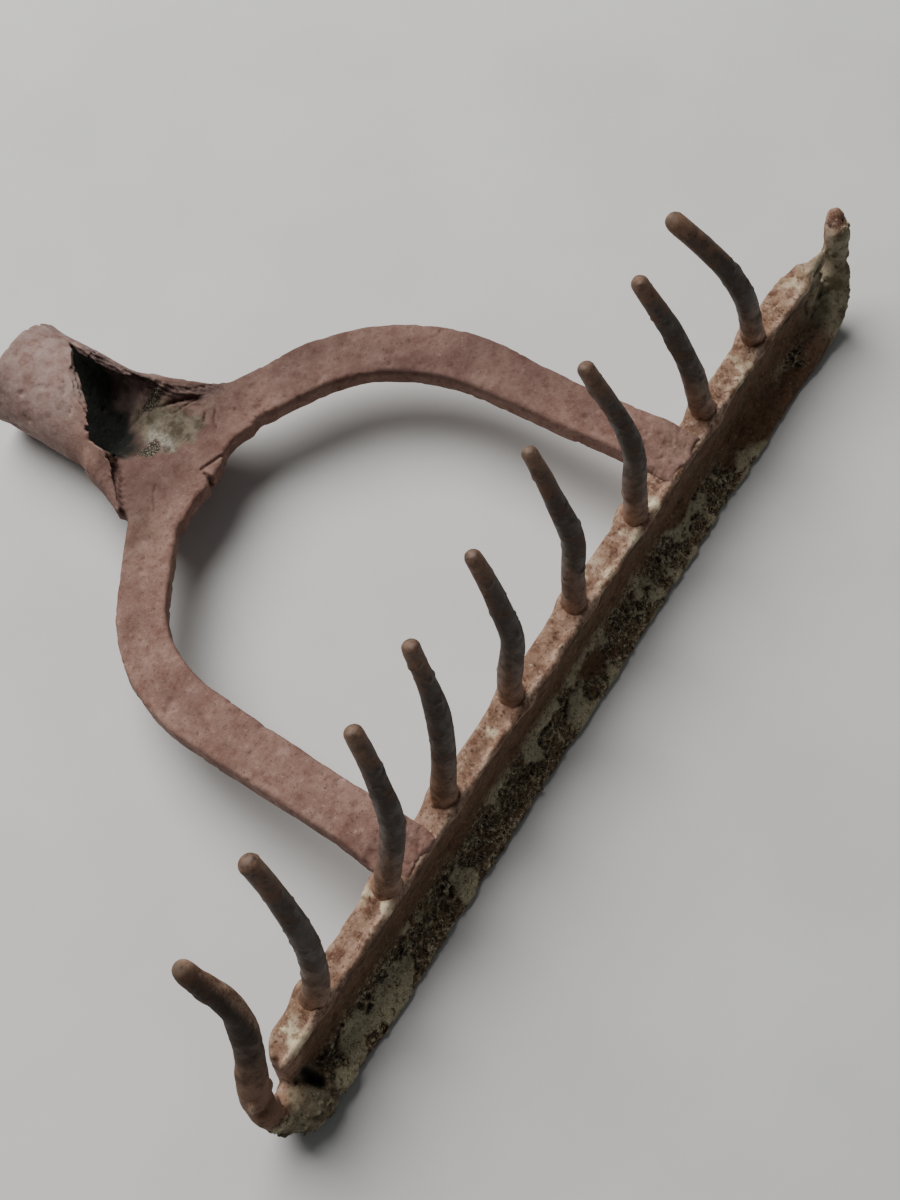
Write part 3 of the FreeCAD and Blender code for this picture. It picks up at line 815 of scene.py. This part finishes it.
class Nodes:
    """Short calls for building one node tree."""

    def __init__(self, name):
        self.material = bpy.data.materials.new(name)
        self.material.use_nodes = True
        self.tree = self.material.node_tree
        self.shader = self.tree.nodes["Principled BSDF"]
        self.place = self.add("TexCoord").outputs["Object"]

    def add(self, kind, **settings):
        node = self.tree.nodes.new("ShaderNode" + kind)
        for key, value in settings.items():
            setattr(node, key, value)
        return node

    def link(self, source, target):
        self.tree.links.new(source, target)

    def noise(self, size_mm, detail=4.0, roughness=0.6, distortion=0.0):
        node = self.add("TexNoise")
        fill(node, {
            "Scale": 1.0 / (size_mm * MM), "Detail": detail, "Roughness": roughness, "Distortion": distortion,
        })
        self.link(self.place, node.inputs["Vector"])
        return node.outputs["Fac"]

    def layer(self, name):
        return self.add("Attribute", attribute_name=name).outputs["Fac"]

    def steps(self, value, low, high, to_low=0.0, to_high=1.0):
        node = self.add("MapRange", interpolation_type="SMOOTHSTEP")
        self.link(value, node.inputs["Value"])
        fill(node, {"From Min": low, "From Max": high, "To Min": to_low, "To Max": to_high})
        return node.outputs["Result"]

    def ramp(self, value, stops):
        node = self.add("ValToRGB")
        self.link(value, node.inputs["Fac"])
        elements = node.color_ramp.elements
        while len(elements) < len(stops):
            elements.new(0.5)
        for element, (place, colour) in zip(elements, stops):
            element.position = place
            element.color = linear(colour)
        return node.outputs["Color"]

    def mix(self, amount, first, second):
        node = self.add("Mix", data_type="RGBA", blend_type="MIX")
        if isinstance(amount, float):
            node.inputs["Factor"].default_value = amount
        else:
            self.link(amount, node.inputs["Factor"])
        for socket, value in (("A", first), ("B", second)):
            target = [s for s in node.inputs if s.name == socket and s.type == "RGBA"][0]
            if isinstance(value, tuple):
                target.default_value = linear(value)
            else:
                self.link(value, target)
        return [s for s in node.outputs if s.type == "RGBA"][0]

    def stain(self, colour, pattern, low, high, amount, tone):
        """Mixes in a tone where the pattern goes from low to high."""
        return self.mix(self.steps(pattern, low, high, 0.0, amount), colour, tone)

    def stains(self, colour, rows):
        for row in rows:
            colour = self.stain(colour, *row)
        return colour

    def maths(self, operation, first, second):
        node = self.add("Math", operation=operation)
        for target, value in zip(node.inputs, (first, second)):
            if isinstance(value, (int, float)):
                target.default_value = value
            else:
                self.link(value, target)
        return node.outputs["Value"]

    def within(self, layer, *pattern):
        """A layer, weakened by steps of a pattern."""
        return self.maths("MULTIPLY", self.layer(layer), self.steps(*pattern))

    def surface(self, colour, roughness, specular):
        self.link(colour, self.shader.inputs["Base Color"])
        self.link(roughness, self.shader.inputs["Roughness"])
        self.shader.inputs["Specular IOR Level"].default_value = specular

    def bumps(self, heights):
        """Chained bumps: (height, strength, depth in mm)."""
        normal = None
        for height, strength, depth in heights:
            node = self.add("Bump")
            fill(node, {"Strength": strength, "Distance": depth * MM})
            self.link(height, node.inputs["Height"])
            if normal is not None:
                self.link(normal, node.inputs["Normal"])
            normal = node.outputs["Normal"]
        self.link(normal, self.shader.inputs["Normal"])


def bow_iron():
    """Even pinkish brown rust with dark specks, pale dust and darker hollows; painted shade in the bore, on
    the fork and on the far arm.
    """
    n = Nodes("bow_iron")
    broad = n.noise(24.0, 3.0, 0.55)
    medium = n.noise(5.0, 5.0, 0.65)
    fine = n.noise(1.3, 5.0, 0.72)
    grain = n.noise(0.55, 3.0, 0.7)
    colour = n.ramp(broad, [
        (0.3, (106, 78, 70)), (0.46, (124, 94, 84)), (0.58, (136, 106, 95)), (0.7, (118, 94, 81)),
    ])
    colour = n.stains(colour, [
        (medium, 0.5, 0.7, 0.6, (104, 68, 60)),
        (medium, 0.46, 0.3, 0.38, (156, 128, 116)),
        (fine, 0.56, 0.68, 0.75, (76, 50, 43)),
        (fine, 0.42, 0.3, 0.55, (172, 144, 130)),
        (grain, 0.58, 0.68, 0.75, (58, 40, 34)),
    ])
    chalky = n.within("tube", medium, 0.64, 0.34, 0.2, 0.52)
    colour = n.mix(chalky, colour, (154, 138, 134))
    # painted shade on the top of the fork and of the far arm, with a little random darker tone
    painted_shade_and_tone = n.maths("MULTIPLY", n.layer("painted_top_shade"), 0.58)
    painted_shade_and_tone = n.maths("ADD", painted_shade_and_tone, n.steps(medium, 0.35, 0.65, 0.0, 0.1))
    colour = n.mix(painted_shade_and_tone, colour, (72, 50, 45))
    torn = n.within("ear", fine, 0.35, 0.6, 0.35, 0.95)
    colour = n.mix(torn, colour, (58, 44, 44))
    colour = n.stain(colour, n.layer("dent"), 0.06, 0.42, 0.9, (44, 29, 25))
    colour = n.stain(colour, n.layer("dent"), -0.1, -0.5, 0.45, (160, 130, 118))
    clay = n.stain((102, 93, 78), medium, 0.38, 0.62, 1, (66, 57, 44))
    clay = n.mix(n.layer("pale"), clay, n.stain((136, 131, 120), fine, 0.4, 0.62, 1, (98, 92, 80)))
    clay = n.stain(clay, grain, 0.58, 0.7, 0.7, (44, 38, 28))
    colour = n.mix(n.layer("mud"), colour, clay)
    colour = n.mix(n.layer("grit"), colour, n.ramp(grain, [
        (0.36, (150, 140, 122)), (0.46, (60, 52, 40)), (0.58, (24, 20, 14)),
    ]))
    # painted shade inside the socket: the bore under the folded sheet and near the mouth
    colour = n.mix(n.layer("painted_shade"), colour, n.stain((14, 15, 11), fine, 0.45, 0.65, 1, (34, 36, 28)))
    n.surface(colour, n.steps(medium, 0.3, 0.7, 0.72, 0.92), 0.3)
    n.bumps([(medium, 0.45, 0.5), (fine, 0.55, 0.28), (grain, 0.4, 0.12)])
    return n.material


def tine_colour(n, along):
    """Iron rubbed dark in the middle, brown at the root, lighter and orange towards the tip."""
    medium = n.noise(5.5, 5.0, 0.62)
    fine = n.noise(1.3, 5.0, 0.7)
    grain = n.noise(0.55, 3.0, 0.7)
    shifted = n.maths("ADD", along, n.steps(medium, 0.3, 0.7, -0.12, 0.12))
    colour = n.ramp(shifted, [
        (0.02, (138, 102, 80)), (0.16, (112, 82, 62)), (0.4, (66, 52, 42)), (0.72, (58, 46, 38)),
        (0.87, (92, 68, 54)), (0.99, (122, 94, 76)),
    ])
    colour = n.stains(colour, [
        (medium, 0.52, 0.66, 0.6, (92, 64, 46)),
        (fine, 0.42, 0.3, 0.45, (120, 100, 84)),
        (fine, 0.57, 0.68, 0.7, (24, 19, 15)),
        (grain, 0.6, 0.72, 0.5, (22, 17, 13)),
    ])
    return colour, medium, fine, grain


def bar_iron():
    """Rust on the strip, darker brown on the outer face (partly its iron, partly painted shade), remains of
    cream paint, and painted shade under the lip, in the tine gaps and in the pocket.
    """
    n = Nodes("bar_iron")
    blade, medium, fine, grain = tine_colour(n, n.layer("along"))
    broad = n.noise(28.0, 3.0, 0.55)
    flakes = n.noise(2.4, 6.0, 0.72, 1.2)
    curls = n.noise(3.4, 2.0, 0.5, 1.6)
    rust = n.ramp(broad, [(0.32, (116, 86, 68)), (0.5, (144, 113, 94)), (0.68, (130, 101, 80))])
    rust = n.stains(rust, [
        (medium, 0.48, 0.64, 0.75, (88, 56, 42)),
        (medium, 0.46, 0.32, 0.55, (172, 146, 126)),
        (fine, 0.44, 0.32, 0.6, (186, 166, 146)),
        (fine, 0.53, 0.64, 0.85, (66, 42, 30)),
        (grain, 0.58, 0.7, 0.6, (48, 30, 22)),
    ])
    dark = n.ramp(medium, [(0.3, (74, 52, 34)), (0.48, (108, 80, 56)), (0.68, (86, 60, 42))])
    dark = n.stain(dark, fine, 0.52, 0.66, 0.85, (36, 24, 15))
    dark = n.stain(dark, fine, 0.42, 0.3, 0.7, (170, 142, 112))
    rust = n.mix(n.within("lip", fine, 0.6, 0.42, 0.05, 0.6), rust, (190, 166, 148))
    # painted shadow under the lip, along the top of the outer face
    dark = n.mix(n.maths("MULTIPLY", n.layer("under"), 0.8), dark, (26, 17, 11))
    # the outer face in darker brown: partly its own iron, partly painted shade
    colour = n.mix(n.layer("face"), rust, dark)
    # the rotten coat: olive islands, dark holes between them and pale curls
    rot = n.stain((124, 110, 80), fine, 0.4, 0.58, 1, (34, 25, 15))
    colour = n.mix(n.within("rot", flakes, 0.64, 0.46), colour, rot)
    olive = n.stain((176, 168, 138), fine, 0.5, 0.66, 0.85, (84, 68, 46))
    colour = n.mix(n.within("coat", flakes, 0.66, 0.52), colour, olive)
    ridge = n.maths("ABSOLUTE", n.maths("SUBTRACT", curls, 0.5), 0.0)
    pale = n.maths("MULTIPLY", n.steps(ridge, 0.050, 0.012), n.steps(flakes, 0.6, 0.42))
    pale = n.maths("MULTIPLY", pale, n.layer("rot"))
    pale = n.maths("MAXIMUM", pale, n.within("curl", fine, 0.6, 0.4))
    colour = n.mix(pale, colour, n.stain((222, 212, 182), grain, 0.42, 0.6, 1, (150, 132, 98)))
    clean = n.within("cream", flakes, 0.68, 0.56)
    cream = n.stain((146, 137, 114), medium, 0.42, 0.62, 1, (98, 88, 66))
    fresh = n.stain((206, 192, 162), medium, 0.45, 0.6, 1, (146, 124, 98))
    cream = n.mix(n.layer("fresh"), cream, fresh)
    colour = n.mix(clean, colour, n.mix(n.steps(fine, 0.56, 0.66, 0.0, 0.8), cream, (74, 58, 40)))
    colour = n.mix(n.layer("tine"), colour, n.mix(0.25, blade, (30, 22, 16)))
    shelf = n.steps(n.layer("shelf"), 0.0, 1.0, 1.0, 0.45)
    deep = n.maths("MULTIPLY", n.steps(n.layer("dent"), 0.08, 0.45, 0.0, 0.92), shelf)
    colour = n.mix(deep, colour, (22, 15, 10))
    colour = n.stain(colour, n.layer("dent"), -0.12, -0.5, 0.25, (160, 134, 112))
    # painted shade in the gaps beside the tines and in the pocket
    colour = n.mix(n.layer("painted_shade"), colour, (8, 6, 5))
    n.surface(colour, n.steps(medium, 0.3, 0.7, 0.66, 0.9), 0.3)
    n.bumps([(medium, 0.45, 0.5), (pale, 0.7, 0.35), (fine, 0.6, 0.26), (grain, 0.4, 0.12)])
    return n.material


def tine_iron():
    n = Nodes("tine_iron")
    colour, medium, fine, grain = tine_colour(n, n.layer("along"))
    colour = n.stain(colour, n.layer("dent"), 0.05, 0.35, 0.85, (22, 16, 12))
    n.surface(colour, n.steps(medium, 0.35, 0.7, 0.48, 0.8), 0.4)
    n.bumps([(medium, 0.45, 0.4), (fine, 0.55, 0.22), (grain, 0.4, 0.1)])
    return n.material


def plain_floor():
    n = Nodes("pale_floor")
    tone = n.ramp(n.noise(60.0, 4.0, 0.5), [(0.35, (0.56, 0.56, 0.55, 1)), (0.65, (0.6, 0.6, 0.59, 1))])
    n.link(tone, n.shader.inputs["Base Color"])
    n.shader.inputs["Roughness"].default_value = 0.9
    return n.material


# --- building ---
def finish_piece(piece, material, node):
    piece.data.materials.append(material)
    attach(piece, "root")
    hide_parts(node)


def build_bar(material):
    verts, quads = polygonise(bar_shape, bar_relief, (-203, 190, -22), (178, 243, 92), CELL_BAR)
    x, y, z = verts.T
    normals = vertex_normals(verts, quads)
    # the rib's end lobe beside the pocket is brown, not dark
    lobe = rise(x, 147, 153) * rise(z, -4, 2)
    # the outer face is found by which way it points; its darker brown is partly its own iron and partly
    # painted shade, as it faces away from the light
    outward = rise(normals[:, 1], 0.05, 0.50) * rise(y, 221.8, 223) * rise(-z, -14.8, -12.6) * (1 - lobe)
    tine = np.zeros(len(x))
    beside = x > WHOLE_END_FROM_X
    strand_only = strand(x[beside], y[beside], z[beside], WHOLE_PATH)
    on_tine = rise(-strand_only, -1.6, -0.6) * rise(z[beside] * 0.8 - (y[beside] - 226.2) * 1.5, -6, 3)
    tine[beside] = on_tine * rise(x[beside], 156, 159.5)
    # painted shadow deep in the pocket beside the curled end
    pocket = 0.9 * (1 - rise(in_pocket(x, y, z), 0.80, 1.30))
    # painted shade in the gaps between the tines and the lip
    gaps = crevices(x, y) * rise(z, 10, 13.5) * (0.25 + 0.6 * clouds(x, y, z, 3, 75, 2))
    streaked = rise(clouds(x, x * 0, z, 9, 81, 3), -0.6, 0.1)
    islands, curls, there = corrosion(x, y, z)
    paint = paint_left(x, y, z) * (1 - tine)
    web = np.maximum(bump(x, -185, 15), rise(x, 147, 151) * 0.75) * rise(y, 220.5, 223.5)
    top = rise(z, 13.5, 15)
    piece = make_piece("forged_tine_bar", verts, quads, {
        "dent": hollows(verts, quads, passes=6),
        "face": outward * (1 - bump(x, -193, 7) * rise(z, 20, 27)),
        "paint": paint,
        "coat": islands,
        "lip": rise(z, 13, 14.5) * bump(y, 222.9, 1.1) * rise(clouds(x, y, z, 5, 79, 3), -0.45, 0.1),
        "fresh": top * rise(x, -181, -174),
        "shelf": rise(z, 12, 14) * (1 - rise(z, 18, 20)),
        "curl": curls,
        "rot": there,
        "cream": paint * np.clip(web + top, 0, 1),
        "tine": tine,
        "along": (0.12 + (z - 30.0) / 66.0).clip(0, 0.80),
        # painted shadow under the lip, along the top of the outer face
        "under": bump(z, 12.6, 2) * rise(y, 222.6, 223.8) * streaked * (1 - lobe),
        # painted shade in the tine gaps and in the pocket
        "painted_shade": np.clip(gaps + pocket, 0, 1),
    })
    finish_piece(piece, material, "tine_bar")


def head_layers(verts, quads):
    """Where the bow and the socket are dirty, and where shade is painted on them."""
    x, y, z = verts.T
    inner = rise(-hollow(x, y, z), -1.8, -0.3) * rise(96 - y, 0, 4)
    haze = 3.0 * clouds(x, y, z, 9, 117, 3)
    # painted shade: under the folded sheet no light reaches the bore, so it is darkened there
    shade = rise((x + 19) * 0.784 - (y - 26) * 0.621 + haze, -5, 4) * (1 - rise(y, 52, 60))
    # painted shade on the inside of the socket: in the bore near its mouth, and lower down under the folded
    # sheet
    painted_shade = inner * np.maximum(shade * (1 - rise(z, 6, 11)), 1 - rise(y, 14, 20))
    clay = polygon_distance(x, y, CLAY_PLAN)
    patch = rise(-clay + 3.6 * clouds(x, y, z, 8, 109, 4), -1.5, 2.5) * inner
    grit = np.zeros(len(x))
    for gx, gy, size in ((4.6, 60.0, 4.6), (-13.0, 47.0, 3.6)):
        away = np.hypot(x - gx, y - gy) + clouds(x, y, z, 3.5, 115, 3) * 2.5
        grit = np.maximum(grit, rise(size - away, -0.5, 1.5))
    grit *= inner
    # painted shade on the top of the fork
    painted_top_shade = (1 - rise(y, 70, 92)) * rise(y, 44, 52) * rise(z, -3, 2)
    # painted shade on the top of the far arm
    far_arm = rise(-x, 24, 44) * (1 - rise(y, 155, 195)) * rise(z - arm_plane(y), 0, 3)
    painted_top_shade = np.maximum(painted_top_shade, far_arm * (0.88 + 0.5 * clouds(x, y, z, 30, 121, 2)))
    ear = bump(polygon_distance(x, y, THROAT_PLAN), -0.5, 3.4) * rise(-x, 6, 12) * rise(y, 16, 22)
    pale = rise(x - 0.35 * (y - 58) + 2.5 * clouds(x, y, z, 6, 119, 2), -9, -2) * rise(y, 50, 56)
    return {
        "dent": hollows(verts, quads, passes=7),
        "mud": patch * (1 - painted_shade) * (1 - grit),
        "painted_shade": painted_shade,
        "grit": grit,
        "pale": pale * patch,
        "ear": ear * rise(z, 4, 8) * (1 - rise(y, 64, 72)),
        "painted_top_shade": painted_top_shade,
        "tube": 1 - rise(y + 0.4 * x, 30, 50),
    }


def build_bow(material):
    for name, sizes in ARMS.items():
        span = sorted((9.0 * sizes["side"], 99.0 * sizes["side"]))
        verts, quads = polygonise(
            make_arm_shape(sizes["side"]), head_relief, (span[0], 44, -10), (span[1], 228, 27), CELL_ARM
        )
        piece = make_piece(f"forged_arm_{name}", verts, quads, head_layers(verts, quads))
        finish_piece(piece, material, f"bow_arm_{name}")


def build_socket(material):
    verts, quads = polygonise(socket_shape, head_relief, (-24, -3, -24), (24, 97, 24), CELL_SOCKET)
    piece = make_piece("rolled_socket", verts, quads, head_layers(verts, quads))
    finish_piece(piece, material, "socket")


def build_tines(material):
    for number, tine in TINES.items():
        verts, quads, caps, along = make_tine(number, tine)
        piece = make_piece(f"forged_tine_{number}", verts, quads.tolist() + caps, {
            "dent": hollows(verts, quads, passes=4), "along": along.clip(0, 1),
        })
        finish_piece(piece, material, f"tine_{number}")


# --- stage, light and camera ---
CAMERA_AT = Vector((229.6, 325.5, 540.2)) * MM
CAMERA_ELEVATION = math.radians(63.0)
CAMERA_HEADING = math.radians(212.16)
CAMERA_LENS = 36.0
SENSOR = 24.0
LIGHT_TARGET = Vector((0.0, 0.12, 0.0))
FLOOR_GAP = 0.1


def heading_vector(angle, elevation):
    flat = math.cos(elevation)
    return Vector((flat * math.cos(angle), flat * math.sin(angle), -math.sin(elevation)))


def add_camera():
    data = bpy.data.cameras.new("camera")
    data.sensor_fit = "VERTICAL"
    data.sensor_height = SENSOR
    data.lens = CAMERA_LENS
    data.clip_start = 0.01
    camera = add_object("camera", data)
    camera.location = CAMERA_AT
    look = heading_vector(CAMERA_HEADING, CAMERA_ELEVATION)
    camera.rotation_euler = look.to_track_quat("-Z", "Y").to_euler()
    bpy.context.scene.camera = camera


def add_area(name, place, size, power, colour):
    data = bpy.data.lights.new(name, "AREA")
    data.shape = "DISK"
    data.size = size
    data.energy = power
    data.color = colour
    lamp = add_object(name, data)
    lamp.location = place
    lamp.rotation_euler = (LIGHT_TARGET - Vector(place)).to_track_quat("-Z", "Y").to_euler()


def add_stage():
    mesh = bpy.data.meshes.new("floor")
    half = 3.0               # metres
    z = (FLOOR_Z - FLOOR_GAP) * MM
    corners = [(-half, -half, z), (half, -half, z), (half, half, z), (-half, half, z)]
    mesh.from_pydata(corners, [], [(0, 1, 2, 3)])
    floor = add_object("floor", mesh)
    floor.data.materials.append(plain_floor())
    world = bpy.data.worlds.new("studio")
    world.use_nodes = True
    fill(world.node_tree.nodes["Background"], {"Color": (0.93, 0.96, 1.0, 1), "Strength": 0.12})
    bpy.context.scene.world = world
    add_area("sky_light", place=(-0.24, -1.02, 1.6), size=1.8, power=72, colour=(1, 0.985, 0.96))


build_bar(bar_iron())
bow = bow_iron()
build_bow(bow)
build_socket(bow)
build_tines(tine_iron())
add_camera()
add_stage()
